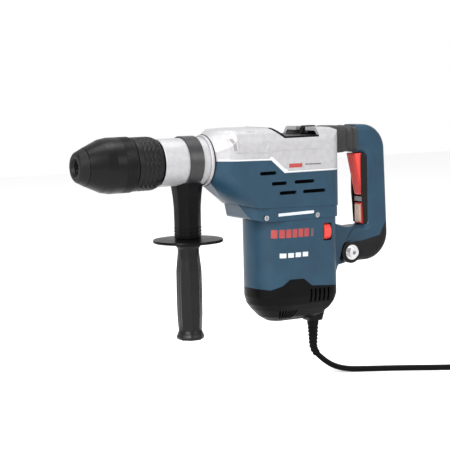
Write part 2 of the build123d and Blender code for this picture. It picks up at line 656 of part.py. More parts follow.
with BuildPart() as handle_shape:
    slab(HANDLE_OUTER, HANDLE_R, HANDLE_HALF)
    rim = edges().filter_by(lambda e: abs(abs(e.center().Y) - HANDLE_HALF) < 0.01)
    fillet([e for e in rim if e.center().X > TIP_X + ARM_FRONT + 0.5], 8.5)
    disc(beside(PIVOT_S, PIVOT_Z, EAR_HALF), 15.5, 2 * EAR_HALF)
    block(across(TONGUE_FRONT, 0, 20), 30, 26, ARM_FRONT + 1 - TONGUE_FRONT)  # tongue inside the bellows
    slab([(380, -165), (380, -108), (424, -108), (428, -120), (428, -165)], 0,
         LUG_HALF + 0.4, Mode.SUBTRACT)
    slab([(372, -90), (392, -101), (401, -103), (414.4, -103), (396, -130), (388.6, -150),
          (382.6, -166), (372, -172)], (0, 8, 0, 0, 6, 6, 6, 0), EAR_HALF + 1, Mode.SUBTRACT)
    slab([(GRIP_FRONT - 8, -66), (GRIP_FRONT - 8, 3), (456, 3), (456, -66)], 0, 11.6, Mode.SUBTRACT)
    slab([(GRIP_FRONT - 8, -103), (GRIP_FRONT - 8, -71), (456, -71), (456, -103)], 0, 8.4,
         Mode.SUBTRACT)
    slab([(455, -112), (455, 12), (466, 12), (466, -112)], 3, 11.6, Mode.SUBTRACT)
    disc(beside(PIVOT_S, PIVOT_Z, 30), BOLT_R + 0.2, 60, Mode.SUBTRACT)
    disc(beside(*TRIGGER_PIVOT, 13), PIN_R, 26, Mode.SUBTRACT)

with BuildPart() as rear_handle:
    add(handle_shape.part)
    slab(JACKET, 0, 40, Mode.SUBTRACT)
save(rear_handle, "rear_handle")

with BuildPart() as handle_jacket:
    add(handle_shape.part)
    slab(JACKET, 0, 40, Mode.INTERSECT)
save(handle_jacket, "handle_jacket")

with BuildPart() as pivot_bolt:
    disc(beside(PIVOT_S, PIVOT_Z, EAR_HALF + 1.6), BOLT_R, 2 * EAR_HALF + 3.2)
    disc(beside(PIVOT_S, PIVOT_Z, -EAR_HALF), 10.5, 1.6)
    disc(beside(PIVOT_S, PIVOT_Z, -EAR_HALF - 1.6), 7.6, 5)
    with BuildSketch(beside(PIVOT_S, PIVOT_Z, -EAR_HALF - 6.6)) as socket:
        RegularPolygon(3.2, 6)
    extrude(socket.sketch, amount=-3.6, mode=Mode.SUBTRACT)
    with BuildSketch(beside(PIVOT_S, PIVOT_Z, EAR_HALF)) as nut:
        RegularPolygon(7.4, 6)
    extrude(nut.sketch, amount=-5)
save(pivot_bolt, "pivot_bolt")

SPRING_FRONT = REAR_WALL - METAL_WALL + 0.2
with BuildPart() as handle_springs:
    for side in (-1, 1):
        disc(across(SPRING_FRONT, 8.5 * side, 20), 4.2, TONGUE_FRONT - 0.2 - SPRING_FRONT)
save(handle_springs, "handle_springs")

with BuildPart() as bellows:
    ridges = 4
    pitch = (ARM_FRONT - REAR_WALL - 0.4) / ridges
    for k in range(ridges):
        front = REAR_WALL + 0.2 + k * pitch
        block(across(front, 0, 19.5), 42, 39, pitch * 0.62, corner=8)
        block(across(front + pitch * 0.62, 0, 19.5), 38.6, 35.6, pitch * 0.38, corner=7)
    block(across(REAR_WALL - 1, 0, 19.5), 34.6, 31.6, ARM_FRONT - REAR_WALL + 2, Mode.SUBTRACT, corner=5)
save(bellows, "bellows")

with BuildPart() as trigger_pin:
    disc(beside(*TRIGGER_PIVOT, 13), PIN_R, 26)
save(trigger_pin, "trigger_pin")

TRIGGER_HALF = 11.2

with BuildPart() as trigger:
    slab([(421, -1.6), (448, -1.6), (448, -62), (434.5, -60)], (3, 0, 2, 5), TRIGGER_HALF)
    rim = edges().filter_by(lambda e: abs(abs(e.center().Y) - TRIGGER_HALF) < 0.01)
    fillet([e for e in rim if e.center().X < TIP_X + 432], 2.5)
    disc(beside(*TRIGGER_PIVOT, 13), PIN_R + FIT, 26, Mode.SUBTRACT)
save(trigger, "trigger")

with BuildPart() as lock_button:
    slab([(434.5, -72.5), (451, -72.5), (451, -102), (434.5, -102)], (4, 0, 0, 4), 8)
save(lock_button, "lock_button")

with BuildPart() as switch_body:
    block(level(-52, 460.6), 10, 18, 42, corner=1)
save(switch_body, "switch_body")

# ---------------------------------------------------------------- mains cord

heading = Vector(math.cos(math.radians(GLAND_HEADING)), math.sin(math.radians(GLAND_HEADING)), 0)
bend_centre = Vector(TIP_X + GLAND_S, 0, AXIS_Z + GLAND_STRAIGHT) + heading * GLAND_BEND_R
bend_axis = Axis(tuple(bend_centre), (heading.Y, -heading.X, 0))
turn = math.radians(GLAND_TURN)
cord_start = (
    Vector(TIP_X + GLAND_S, 0, AXIS_Z + GLAND_STRAIGHT - GLAND_BEND_R * math.sin(turn))
    + heading * GLAND_BEND_R * (1 - math.cos(turn))
)
cord_way = heading * math.sin(turn) + Vector(0, 0, -math.cos(turn))
FIRST_RUN = 15.0

with BuildPart() as strain_relief:
    turned_upright(GLAND_S, (CORD_R + 0.2, GLAND_TOP), (9, GLAND_TOP), (8.4, GLAND_TOP - 4),
                   (GLAND_TIP_R, GLAND_STRAIGHT), (CORD_R + 0.2, GLAND_STRAIGHT))
    with BuildSketch(level(GLAND_STRAIGHT, GLAND_S)) as gland_ring:
        Circle(GLAND_TIP_R)
    revolve(gland_ring.sketch, axis=bend_axis, revolution_arc=GLAND_TURN)
save(strain_relief, "strain_relief")

CORD_Z = FLOOR_Z + CORD_R
CORD_ROUTE = [
    tuple(cord_start),
    tuple(cord_start + cord_way * FIRST_RUN),
    (-77.6, -12.2, CORD_Z + 5),
    (-61.2, -19.5, CORD_Z + 0.6),
    (-36.5, -31.5, CORD_Z),
    (5, -54, CORD_Z),
    (51, -84, CORD_Z),
    (99, -111, CORD_Z),
    (149, -140, CORD_Z),
]


def route_radii(points):
    """The arc at each corner: 0.45 of its shorter run over the tangent of half the turn."""
    corners = [Vector(*p) for p in points]
    radii = []
    for before, here, after in zip(corners, corners[1:], corners[2:]):
        turn_here = math.radians((here - before).get_angle(after - here))
        shorter = min((here - before).length, (after - here).length)
        radii.append(0.45 * shorter / math.tan(turn_here / 2))
    return radii


def cord_tube(points, label):
    """A round tube along straight runs that are joined by tangent arcs."""
    radii = route_radii(points)
    with BuildPart() as tube:
        with BuildLine() as path:
            FilletPolyline(*points, radius=radii)
        with BuildSketch(Plane(origin=path.line @ 0, z_dir=path.line % 0)):
            Circle(CORD_R)
        sweep()
    save(tube, label)
    length = path.wire().length
    print(label, "length", round(length, 1), "radii", [round(r) for r in radii],
          "volume ratio", round(tube.part.volume / (math.pi * CORD_R**2 * length), 4))


cord_tube(CORD_ROUTE, "cord_lead")

with BuildPart() as cord_coil:
    with BuildSketch(Plane(origin=(COIL_X, COIL_Y, FLOOR_Z))) as ring:
        Circle(COIL_MEAN_R + COIL_WIDTH / 2)
        Circle(COIL_MEAN_R - COIL_WIDTH / 2, mode=Mode.SUBTRACT)
    extrude(ring.sketch, amount=COIL_HEIGHT)
save(cord_coil, "cord_coil")

TAIL_START = (COIL_X + 46.0, COIL_Y - 24.0, FLOOR_Z + 12.9)
PLUG_Z = FLOOR_Z + 10.0
TAIL_ROUTE = [
    TAIL_START,
    (COIL_X + 58.0, COIL_Y - 3.5, FLOOR_Z + 12.0),
    (COIL_X + 72.0, COIL_Y + 14.0, PLUG_Z),
    (COIL_X + 81.0, COIL_Y + 36.0, PLUG_Z),
]
cord_tube(TAIL_ROUTE, "cord_tail")

plug_way = Vector(*TAIL_ROUTE[-1]) - Vector(*TAIL_ROUTE[-2])
plug_plane = Plane(origin=TAIL_ROUTE[-1], x_dir=(0, 0, 1), z_dir=(plug_way.X, plug_way.Y, 0))
BOOT_LENGTH = 16.0
BODY_LENGTH = 26.0

with BuildPart() as plug_body:
    with BuildSketch(plug_plane):
        Circle(5.4)
    with BuildSketch(plug_plane.offset(BOOT_LENGTH)):
        RectangleRounded(13, 17, 5)
    loft()
    with BuildSketch(plug_plane.offset(BOOT_LENGTH)):
        RectangleRounded(19.6, 27, 5)
    extrude(amount=BODY_LENGTH)
    with BuildSketch(plug_plane.offset(BOOT_LENGTH + BODY_LENGTH - 3)):
        with GridLocations(0, 12.7, 1, 2):
            Rectangle(6.5, 1.7)
    extrude(amount=3, mode=Mode.SUBTRACT)
save(plug_body, "plug_body")

with BuildPart() as plug_blades:
    with BuildSketch(plug_plane.offset(BOOT_LENGTH + BODY_LENGTH - 3)):
        with GridLocations(0, 12.7, 1, 2):
            Rectangle(6.35, 1.5)
    extrude(amount=20)
    chamfer(edges().filter_by(lambda e: e.length > 6 and e.length < 7).group_by(SortBy.DISTANCE)[-1], 0.5)
save(plug_blades, "plug_blades")
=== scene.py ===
import json
import math

import bmesh
import bpy
from mathutils import Matrix, Vector
from mathutils.bvhtree import BVHTree


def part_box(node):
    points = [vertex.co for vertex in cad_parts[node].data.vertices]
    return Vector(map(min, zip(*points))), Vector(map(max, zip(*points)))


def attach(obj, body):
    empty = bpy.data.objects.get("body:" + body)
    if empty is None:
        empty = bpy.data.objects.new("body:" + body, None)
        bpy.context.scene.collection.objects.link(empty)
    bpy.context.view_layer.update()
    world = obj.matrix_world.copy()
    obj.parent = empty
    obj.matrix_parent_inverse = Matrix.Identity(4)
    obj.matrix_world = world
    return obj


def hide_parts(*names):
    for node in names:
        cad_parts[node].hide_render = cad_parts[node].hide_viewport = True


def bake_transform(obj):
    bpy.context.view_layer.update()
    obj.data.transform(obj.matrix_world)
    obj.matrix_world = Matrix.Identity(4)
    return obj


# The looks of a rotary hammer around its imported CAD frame.  Places are given, as in the CAD, by
# station (mm back from the tip of the bit holder), height (mm over the spindle's axis) and side.

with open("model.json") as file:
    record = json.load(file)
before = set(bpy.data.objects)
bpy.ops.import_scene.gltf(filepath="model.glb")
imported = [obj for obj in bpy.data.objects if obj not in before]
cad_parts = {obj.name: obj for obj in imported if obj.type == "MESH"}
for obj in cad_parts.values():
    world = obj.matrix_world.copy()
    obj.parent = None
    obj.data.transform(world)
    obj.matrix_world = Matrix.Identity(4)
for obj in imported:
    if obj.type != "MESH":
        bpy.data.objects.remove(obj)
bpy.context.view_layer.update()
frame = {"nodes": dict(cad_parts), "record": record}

MM = 0.001
cap_low, cap_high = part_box("dust_cap")
TIP_X = cap_low.x
AXIS_Z = (cap_low.z + cap_high.z) / 2
FLOOR_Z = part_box("cord_coil")[0].z


def at(station, height, side=0.0):
    """The row-frame point at a station, height and side in mm."""
    return Vector((TIP_X + station * MM, side * MM, AXIS_Z + height * MM))


# ---------------------------------------------------------------- camera

VIEW_AZIMUTH, VIEW_ELEVATION, VIEW_ROLL = -29.5, 6.2, 1.3  # degrees
VIEW_DISTANCE = 1.930  # metres
VIEW_MIDDLE = at(217.44, -88.89)
FOCAL_LENGTH, FILM_WIDTH = 114.4, 36.0  # millimetres


def make_camera():
    """The photograph's view: from the front left, a little above, slightly rolled."""
    turn, lift, roll = (math.radians(a) for a in (VIEW_AZIMUTH, VIEW_ELEVATION, VIEW_ROLL))
    back = Vector((math.sin(turn) * math.cos(lift), -math.cos(turn) * math.cos(lift), math.sin(lift)))
    right = Vector((math.cos(turn), math.sin(turn), 0))
    up = back.cross(right)
    across = math.cos(roll) * right - math.sin(roll) * up
    above = math.sin(roll) * right + math.cos(roll) * up
    lens = bpy.data.cameras.new("camera")
    lens.lens, lens.sensor_width = FOCAL_LENGTH, FILM_WIDTH
    camera = bpy.data.objects.new("camera", lens)
    camera.matrix_world = Matrix.Translation(VIEW_MIDDLE + VIEW_DISTANCE * back) @ Matrix(
        (across, above, back)).transposed().to_4x4()
    bpy.context.scene.collection.objects.link(camera)
    bpy.context.scene.camera = camera


make_camera()


# ---------------------------------------------------------------- materials

MATERIALS = {}


def material(name, colour, roughness, metallic=0.0, specular=0.5, grain=0.0004, bump=0.15,
             mottle=0.12, patch=0.02, wear=0.06):
    """A Principled surface: grain is the size of its bumps in metres, mottle how much its colour
    drifts over a patch's length, and wear how much its gloss varies."""
    made = bpy.data.materials.new(name)
    made.use_nodes = True
    nodes, links = made.node_tree.nodes, made.node_tree.links
    shader = nodes["Principled BSDF"]
    shader.inputs["Metallic"].default_value = metallic
    shader.inputs["Specular IOR Level"].default_value = specular
    place = nodes.new("ShaderNodeTexCoord")

    def noise(size, detail):
        texture = nodes.new("ShaderNodeTexNoise")
        texture.inputs["Scale"].default_value = 1.0 / size
        texture.inputs["Detail"].default_value = detail
        links.new(place.outputs["Object"], texture.inputs["Vector"])
        return texture.outputs["Fac"]

    drift = noise(patch, 4.0)
    ramp = nodes.new("ShaderNodeValToRGB")
    ramp.color_ramp.elements[0].position, ramp.color_ramp.elements[1].position = 0.32, 0.68
    dark, light = (tuple(min(1.0, c * (1 + s * mottle)) for c in colour) + (1.0,) for s in (-1, 1))
    ramp.color_ramp.elements[0].color, ramp.color_ramp.elements[1].color = dark, light
    links.new(drift, ramp.inputs["Fac"])
    links.new(ramp.outputs["Color"], shader.inputs["Base Color"])

    gloss = nodes.new("ShaderNodeMapRange")
    gloss.inputs["To Min"].default_value = max(0.03, roughness - wear)
    gloss.inputs["To Max"].default_value = min(1.0, roughness + wear)
    links.new(noise(patch * 0.6, 3.0), gloss.inputs["Value"])
    links.new(gloss.outputs["Result"], shader.inputs["Roughness"])

    relief = nodes.new("ShaderNodeBump")
    relief.inputs["Strength"].default_value = bump
    relief.inputs["Distance"].default_value = grain * 0.5
    links.new(noise(grain, 2.0), relief.inputs["Height"])
    links.new(relief.outputs["Normal"], shader.inputs["Normal"])
    MATERIALS[name] = made


def add_rings(name, axis, pitch, depth):
    """Fine turned or stacked lines over a material: bands across an axis, pitch and depth in metres."""
    tree = MATERIALS[name].node_tree
    nodes, links = tree.nodes, tree.links
    place = nodes.new("ShaderNodeTexCoord")
    wave = nodes.new("ShaderNodeTexWave")
    wave.wave_type = "BANDS"
    wave.bands_direction = axis
    wave.inputs["Scale"].default_value = 0.314 / pitch  # a band is 0.314 units long at scale 1
    wave.inputs["Distortion"].default_value = 0.6
    links.new(place.outputs["Object"], wave.inputs["Vector"])
    lines = nodes.new("ShaderNodeBump")
    lines.inputs["Strength"].default_value = 0.5
    lines.inputs["Distance"].default_value = depth
    links.new(wave.outputs["Fac"], lines.inputs["Height"])
    first = next(n for n in nodes if n.type == "BUMP" and n != lines)
    links.new(lines.outputs["Normal"], first.inputs["Normal"])


def make_materials():
    """One finish for each material slot of the record."""
    material("cast_metal", (0.325, 0.32, 0.33), 0.5, metallic=0.5, specular=0.25, grain=0.0012, bump=0.6,
             mottle=0.06, patch=0.007, wear=0.12)
    material("body_plastic", (0.0105, 0.034, 0.058), 0.36, specular=0.2, grain=0.0005, bump=0.15,
             mottle=0.12, patch=0.03)
    material("black_plastic", (0.0022, 0.0021, 0.0024), 0.34, specular=0.06, grain=0.0006, bump=0.12,
             patch=0.02)
    material("grip_rubber", (0.005, 0.005, 0.0055), 0.45, specular=0.13, grain=0.0008, bump=0.2)
    material("cord_rubber", (0.002, 0.002, 0.0022), 0.4, specular=0.06, grain=0.0015, bump=0.15)
    material("band_steel", (0.035, 0.035, 0.036), 0.36, metallic=0.6, specular=0.3, grain=0.0006, bump=0.25)
    material("steel", (0.35, 0.35, 0.36), 0.3, metallic=1.0, grain=0.0008, bump=0.15)
    add_rings("steel", "Z", 0.0006, 0.00003)
    material("bright_steel", (0.55, 0.55, 0.56), 0.2, metallic=1.0, grain=0.0005, bump=0.1)
    material("light_metal", (0.66, 0.67, 0.68), 0.35, metallic=0.9, grain=0.0008, bump=0.3)
    material("motor_iron", (0.12, 0.12, 0.125), 0.5, metallic=0.8, grain=0.001, bump=0.3)
    add_rings("motor_iron", "Z", 0.0010, 0.00008)
    material("copper_parts", (0.75, 0.33, 0.16), 0.3, metallic=1.0, grain=0.0008, bump=0.2)
    add_rings("copper_parts", "Z", 0.0012, 0.0002)
    material("brass_parts", (0.70, 0.52, 0.25), 0.3, metallic=1.0, grain=0.0008, bump=0.2)
    material("carbon", (0.02, 0.02, 0.021), 0.6, grain=0.0005, bump=0.3)
    material("red_plastic", (0.56, 0.046, 0.036), 0.34, specular=0.3, grain=0.0005, bump=0.15, mottle=0.06)


def make_trim_materials():
    """Finishes that only the added pieces have."""
    material("satin_black", (0.0038, 0.0036, 0.004), 0.34, specular=0.11, grain=0.0004, bump=0.06)
    material("soft_black", (0.005, 0.0048, 0.0053), 0.42, specular=0.14, grain=0.0005, bump=0.12)
    material("grip_gloss", (0.004, 0.004, 0.0044), 0.34, specular=0.16, grain=0.0006, bump=0.1)
    material("boot_rubber", (0.022, 0.022, 0.023), 0.5, specular=0.2, grain=0.0008, bump=0.25)
    material("shadow_black", (0.0015, 0.0015, 0.002), 0.8, specular=0.1, grain=0.0006, bump=0.2)
    material("shadow_cast", (0.16, 0.155, 0.15), 0.6, grain=0.0008, bump=0.4)
    # Cast metal lightened: a painted highlight for the raised rims of the case.
    material("cast_highlight", (0.5, 0.5, 0.51), 0.35, metallic=0.4, grain=0.0009, bump=0.3, mottle=0.05)
    material("print_red", (0.24, 0.02, 0.018), 0.4, grain=0.0007, bump=0.15)
    material("print_dim", (0.07, 0.035, 0.045), 0.4, grain=0.0007, bump=0.15)
    material("print_white", (0.42, 0.44, 0.46), 0.4, grain=0.0007, bump=0.15)
    material("print_dark", (0.06, 0.05, 0.05), 0.4, grain=0.0007, bump=0.15)
    material("grey_plastic", (0.16, 0.155, 0.15), 0.4, grain=0.0006, bump=0.2)
    # A pale cream: painted highlight on the red lock button's front.
    material("painted_glare", (0.55, 0.40, 0.30), 0.4, grain=0.0006, bump=0.15)


def paint_cad_nodes():
    """Give every carried-over CAD node the material of its slot in the record."""
    for entry in frame["record"]["subparts"]:
        mesh = frame["nodes"][entry["node"]].data
        mesh.materials.clear()
        mesh.materials.append(MATERIALS[entry["material_slot"]])


make_materials()
make_trim_materials()
paint_cad_nodes()


# ---------------------------------------------------------------- mesh helpers

def soften(corners, steps=4):
    """An open line of (along, out, radius) corners with each inner corner rounded by its radius."""
    found = [Vector(corners[0][:2])]
    for before, corner, after in zip(corners, corners[1:], corners[2:]):
        here, radius = Vector(corner[:2]), corner[2]
        back, ahead = Vector(before[:2]) - here, Vector(after[:2]) - here
        if radius:
            half = back.angle(ahead) / 2
            reach = min(radius / math.tan(half), 0.48 * back.length, 0.48 * ahead.length)
            start, end = here + back.normalized() * reach, here + ahead.normalized() * reach
            for k in range(steps + 1):
                t = k / steps
                found.append((1 - t) ** 2 * start + 2 * t * (1 - t) * here + t * t * end)
        else:
            found.append(here)
    return found + [Vector(corners[-1][:2])]


def split_runs(line, longest):
    """The line with its long runs divided, so that a relief on it has points to shape."""
    found = [line[0]]
    for start, end in zip(line, line[1:]):
        parts = max(1, math.ceil((end - start).length / longest))
        found += [start.lerp(end, k / parts) for k in range(1, parts + 1)]
    return found


def add_piece(name, points, faces, body, slot, replaced=(), sharp=40.0):
    """A mesh of row-frame points in metres that rides on a body, or on none if it is to be blended."""
    mesh = bpy.data.meshes.new(name)
    mesh.from_pydata([tuple(p) for p in points], [], faces)
    mesh.materials.append(MATERIALS[slot])
    shaped = bmesh.new()
    shaped.from_mesh(mesh)
    bmesh.ops.recalc_face_normals(shaped, faces=shaped.faces)
    shaped.to_mesh(mesh)
    shaped.free()
    mesh.polygons.foreach_set("use_smooth", [True] * len(mesh.polygons))
    mesh.set_sharp_from_angle(angle=math.radians(sharp))
    piece = bpy.data.objects.new(name, mesh)
    bpy.context.scene.collection.objects.link(piece)
    if body:
        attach(piece, body)
    if replaced:
        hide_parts(*replaced)
    return piece


def bridge(rings, wrap=False):
    """Faces between closed rings of points: open ends are capped, or the last joins the first."""
    count = len(rings[0])
    rows = len(rings)
    faces = []
    for a in range(rows if wrap else rows - 1):
        b = (a + 1) % rows
        for k in range(count):
            n = (k + 1) % count
            faces.append((a * count + k, a * count + n, b * count + n, b * count + k))
    if not wrap:
        faces.append(tuple(range(count))[::-1])
        faces.append(tuple((rows - 1) * count + k for k in range(count)))
    return [p for ring in rings for p in ring], faces


def spindle_rings(line, segments, relief=None):
    """Rings about the spindle through (station, radius) points; relief lowers them by its depth."""
    rings = []
    for station, radius in line:
        angles = [2 * math.pi * k / segments for k in range(segments)]
        depths = [relief(station, radius, a) if relief else 0.0 for a in angles]
        rings.append([at(station, (radius - d) * math.cos(a), (radius - d) * math.sin(a))
                      for a, d in zip(angles, depths)])
    return rings


def upright_rings(station, line, segments, section):
    """Level rings about a vertical axis through (height, radius) points; section scales each way."""
    rings = []
    for height, radius in line:
        angles = [2 * math.pi * k / segments for k in range(segments)]
        rings.append([at(station + radius * section(height, a) * math.cos(a), height,
                         radius * section(height, a) * math.sin(a)) for a in angles])
    return rings


SURFACES = {}  # the outside of each CAD node looked up so far
OUTSIDE_Y = 80.0  # mm from the middle plane, past every node's side
EDGE_Y = 46.0  # mm from the middle plane, about where the cases' sides lie


def surface_of(node):
    """A CAD node's faces, ready for ray casts."""
    if node not in SURFACES:
        mesh = frame["nodes"][node].data
        SURFACES[node] = BVHTree.FromPolygons([v.co for v in mesh.vertices],
                                              [tuple(f.vertices) for f in mesh.polygons])
    return SURFACES[node]


def on_side(node, station, height, side, lift):
    """The point of a CAD node's outside, seen from one side, raised by lift mm."""
    surface = surface_of(node)
    hit, normal = surface.ray_cast(at(station, height, side * OUTSIDE_Y), Vector((0, -side, 0)))[:2]
    if hit is None:  # just past the node's edge
        hit, normal = surface.find_nearest(at(station, height, side * EDGE_Y))[:2]
        normal = Vector((0, side, 0))
    if normal.y * side < 0:
        normal = -normal
    return hit + normal * (lift * MM)


SUNK = -0.25  # how far a strip's edges lie under the surface


def sheet_faces(rows, count):
    """Faces of an open sheet that has a number of rows of count points."""
    return [(a * count + k, a * count + k + 1, (a + 1) * count + k + 1, (a + 1) * count + k)
            for a in range(rows - 1) for k in range(count - 1)]


def strip(name, node, line, width, lifts, body, slot, step=2.0):
    """A raised strip along (station, height) points on both of a node's sides.

    The lifts are its height over the surface at points across its width; its ends are sunk."""
    for side in (-1, 1):
        run = split_runs([Vector(p) for p in line], step)
        points = []
        for k, here in enumerate(run):
            ahead = run[min(k + 1, len(run) - 1)] - run[max(k - 1, 0)]
            cross = Vector((-ahead.y, ahead.x)).normalized()
            at_end = k in (0, len(run) - 1)
            for n, lift in enumerate(lifts):
                place = here + cross * width * (n / (len(lifts) - 1) - 0.5)
                points.append(on_side(node, place.x, place.y, side, SUNK if at_end else lift))
        label = "left" if side < 0 else "right"
        add_piece(f"{name}_{label}", points, sheet_faces(len(run), len(lifts)), body, slot, sharp=60.0)


BEAD = (SUNK, 0.35, 0.55, 0.6, 0.55, 0.35, SUNK)  # a rounded cast or moulded line
PRINT = (SUNK, 0.12, 0.12, 0.12, 0.12, SUNK)  # a printed mark, a film's thickness proud


# ---------------------------------------------------------------- chuck

SLEEVE_R = 36.4
GROOVE_FRONT, GROOVE_PITCH, GROOVE_DEPTH = 58.2, 1.8, 0.5


def make_lock_sleeve():
    """Satin cone, then a band of fine turned grooves."""
    outer = soften([(12, 20.6, 0), (12, 24.6, 1), (34, 34.4, 2), (45, SLEEVE_R, 4), (58, SLEEVE_R, 0)])
    outer += [Vector((s / 10, SLEEVE_R)) for s in range(582, 734, 3)]
    outer += [Vector(p) for p in ((73.9, 36.3), (74.7, 35.9), (75, 35.75))]
    inner = [Vector(p) for p in ((66, 35.7), (66, 31), (30, 31), (30, 20.6))]

    def grooves(station, radius, _angle):
        if radius < SLEEVE_R - 0.1 or not GROOVE_FRONT + 0.2 < station < 73:
            return 0.0
        return GROOVE_DEPTH * (0.5 - 0.5 * math.cos(2 * math.pi * (station - GROOVE_FRONT) / GROOVE_PITCH))

    points, faces = bridge(spindle_rings(outer + inner, 128, grooves), wrap=True)
    add_piece("sleeve_shell", points, faces, "lock_sleeve", "satin_black", ["lock_sleeve"])


WAVES = 22  # chevrons round the sleeve
WAVE_ROWS = 3.5
WAVE_FRONT, WAVE_PITCH, WAVE_SWING, WAVE_DEPTH = 80.6, 6.2, 2.6, 1.0


def make_rear_sleeve():
    """Grip sleeve with rows of chevron grooves between plain bands."""
    outer = soften([(76.2, 31, 0), (76.2, 34.2, 0), (77.4, 35.2, 0.6), (80, 35.25, 0)])
    outer += [Vector((80 + 0.5 * k, 35.25)) for k in range(1, 48)]
    outer += soften([(104, 35.2, 0), (108.4, 34.1, 5), (111, 32.9, 3), (114.5, 29.4, 1), (114.5, 27.7, 0)])
    inner = [Vector(p) for p in ((109, 30.5), (101, 32.3), (84, 32.3), (84, 31))]

    def chevrons(station, radius, angle):
        if radius < 35 or not 79.5 < station < 105:
            return 0.0
        swing = abs((angle * WAVES / (2 * math.pi)) % 1.0 - 0.5) * 2
        along = (station - WAVE_FRONT - WAVE_SWING * swing) / WAVE_PITCH
        if not 0 < along < WAVE_ROWS:
            return 0.0
        return WAVE_DEPTH * max(0.0, math.cos(2 * math.pi * (along - 0.5))) ** 1.5

    points, faces = bridge(spindle_rings(outer + inner, WAVES * 12, chevrons), wrap=True)
    add_piece("grip_sleeve", points, faces, "spindle", "soft_black", ["rear_sleeve"], sharp=70.0)


# ---------------------------------------------------------------- springs

BOOT_H = 20.0  # height of the handle springs and of the boot round them


def spring_rings(front, rear, side, height, radius, wire, turns):
    """Rings of wire, of half-thickness wire, round a coil that lies along the spindle's direction."""
    steps, rings = 24 * turns, []
    for k in range(steps + 1):
        turn = 2 * math.pi * turns * k / steps
        centre_s = front + wire + (rear - front - 2 * wire) * k / steps
        ring = []
        for n in range(10):
            a = 2 * math.pi * n / 10
            far = radius - wire + wire * math.cos(a)
            ring.append(at(centre_s + wire * math.sin(a), height + far * math.sin(turn),
                           side + far * math.cos(turn)))
        rings.append(ring)
    return rings


def make_springs():
    """The springs shorten with the sleeve and the handle, so they are blended across those joints."""
    front, rear = 30.4, 75.6
    points, faces = bridge(spring_rings(front, rear, 0, 0, 26.9, 1.2, 7))
    spring = add_piece("sleeve_coil", points, faces, None, "steel", ["sleeve_spring"])
    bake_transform(spring)
    for side, label in ((-8.5, "left"), (8.5, "right")):
        points, faces = bridge(spring_rings(371.8, 399.2, side, BOOT_H, 4.1, 0.8, 8))
        spring = add_piece(f"handle_coil_{label}", points, faces, None, "steel", ["handle_springs"])
        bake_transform(spring)


# ---------------------------------------------------------------- side handle

SIDE_S = 160.5  # the side handle's middle
NECK_R = 31.5
STEM_SOFTNESS = 0.12  # how far the stem's eight flats are rounded


def octagon(softness):
    """A section that scales a radius into an eight-sided bar with rounded corners."""
    def section(_height, angle):
        away = (angle + math.pi / 8) % (math.pi / 4) - math.pi / 8
        return (1 - softness) * math.cos(math.pi / 8) ** 0.5 / math.cos(away) + softness
    return section


def make_side_grip():
    """A fluted grip that swells in the middle, with an eight-sided end."""
    line = soften([(-109, 9, 0), (-109, 16.4, 1.2), (-112.6, 16.6, 1), (-116, 14.4, 2),
                   (-121, 14.4, 4), (-146, 17, 30), (-176, 17.3, 0), (-205, 17, 30), (-226, 15.8, 5),
                   (-231, 17.2, 1), (-234.5, 18.4, 0.8), (-237, 18, 0.8), (-238.5, 16, 0)])
    line = split_runs(line, 3.0)

    def flutes(height, angle):
        """Round at the collar, fluted down the grip and eight-sided at its end."""
        deep = min(1.0, max(0.0, (-118 - height) / 12)) * min(1.0, max(0.0, (height + 229) / 9))
        away = abs((angle + math.pi / 8) % (math.pi / 4) - math.pi / 8) / (math.pi / 8)
        flat = octagon(0.35)(height, angle) if height < -229 else 1.0
        return flat * (1 - 0.075 * deep * (1 - away**4))

    points, faces = bridge(upright_rings(SIDE_S, line, 96, flutes))
    add_piece("side_grip_cover", points, faces, "side_grip", "grip_gloss", ["side_grip"], sharp=50.0)


def make_bracket():
    """The side handle's stem: eight flat sides that spread into the saddle under the band."""
    line = soften([(-102.4, 4.4, 0), (-102.4, 17.2, 1), (-62, 17.4, 10), (-46, 18.6, 8), (-34, 20.2, 5),
                   (-30, 20.3, 0)])
    rings = upright_rings(SIDE_S, split_runs(line, 3.0), 96, octagon(STEM_SOFTNESS))
    reach = NECK_R + 0.35
    middle = at(SIDE_S, 0)

    def seated(x, y):
        """The point under the neck, just clear of it, at a place along and across it."""
        return Vector((x, y, AXIS_Z - math.sqrt(reach**2 - (y / MM) ** 2) * MM))

    rim = rings.pop()
    rings.append([seated(p.x, p.y) for p in rim])
    rings.append([seated(middle.x + (p.x - middle.x) * 0.8, p.y * 0.8) for p in rim])
    points, faces = bridge(rings)
    add_piece("handle_stem", points, faces, "side_handle", "black_plastic", ["handle_bracket"], sharp=30.0)
    for k in range(3):
        height = -97 + 4.5 * k
        rib = soften([(height - 0.9, 16.6, 0), (height - 0.7, 17.9, 0.4), (height + 0.7, 17.9, 0.4),
                      (height + 0.9, 16.6, 0)])
        points, faces = bridge(upright_rings(SIDE_S, rib, 96, octagon(STEM_SOFTNESS)), wrap=True)
        add_piece(f"stem_rib_{k + 1}", points, faces, "side_handle", "black_plastic")


# ---------------------------------------------------------------- gear case details

# (station, height) points where the silver case meets the blue cover
PARTING = ((190, -0.2), (264, -2), (284.5, -20), (375, -20))


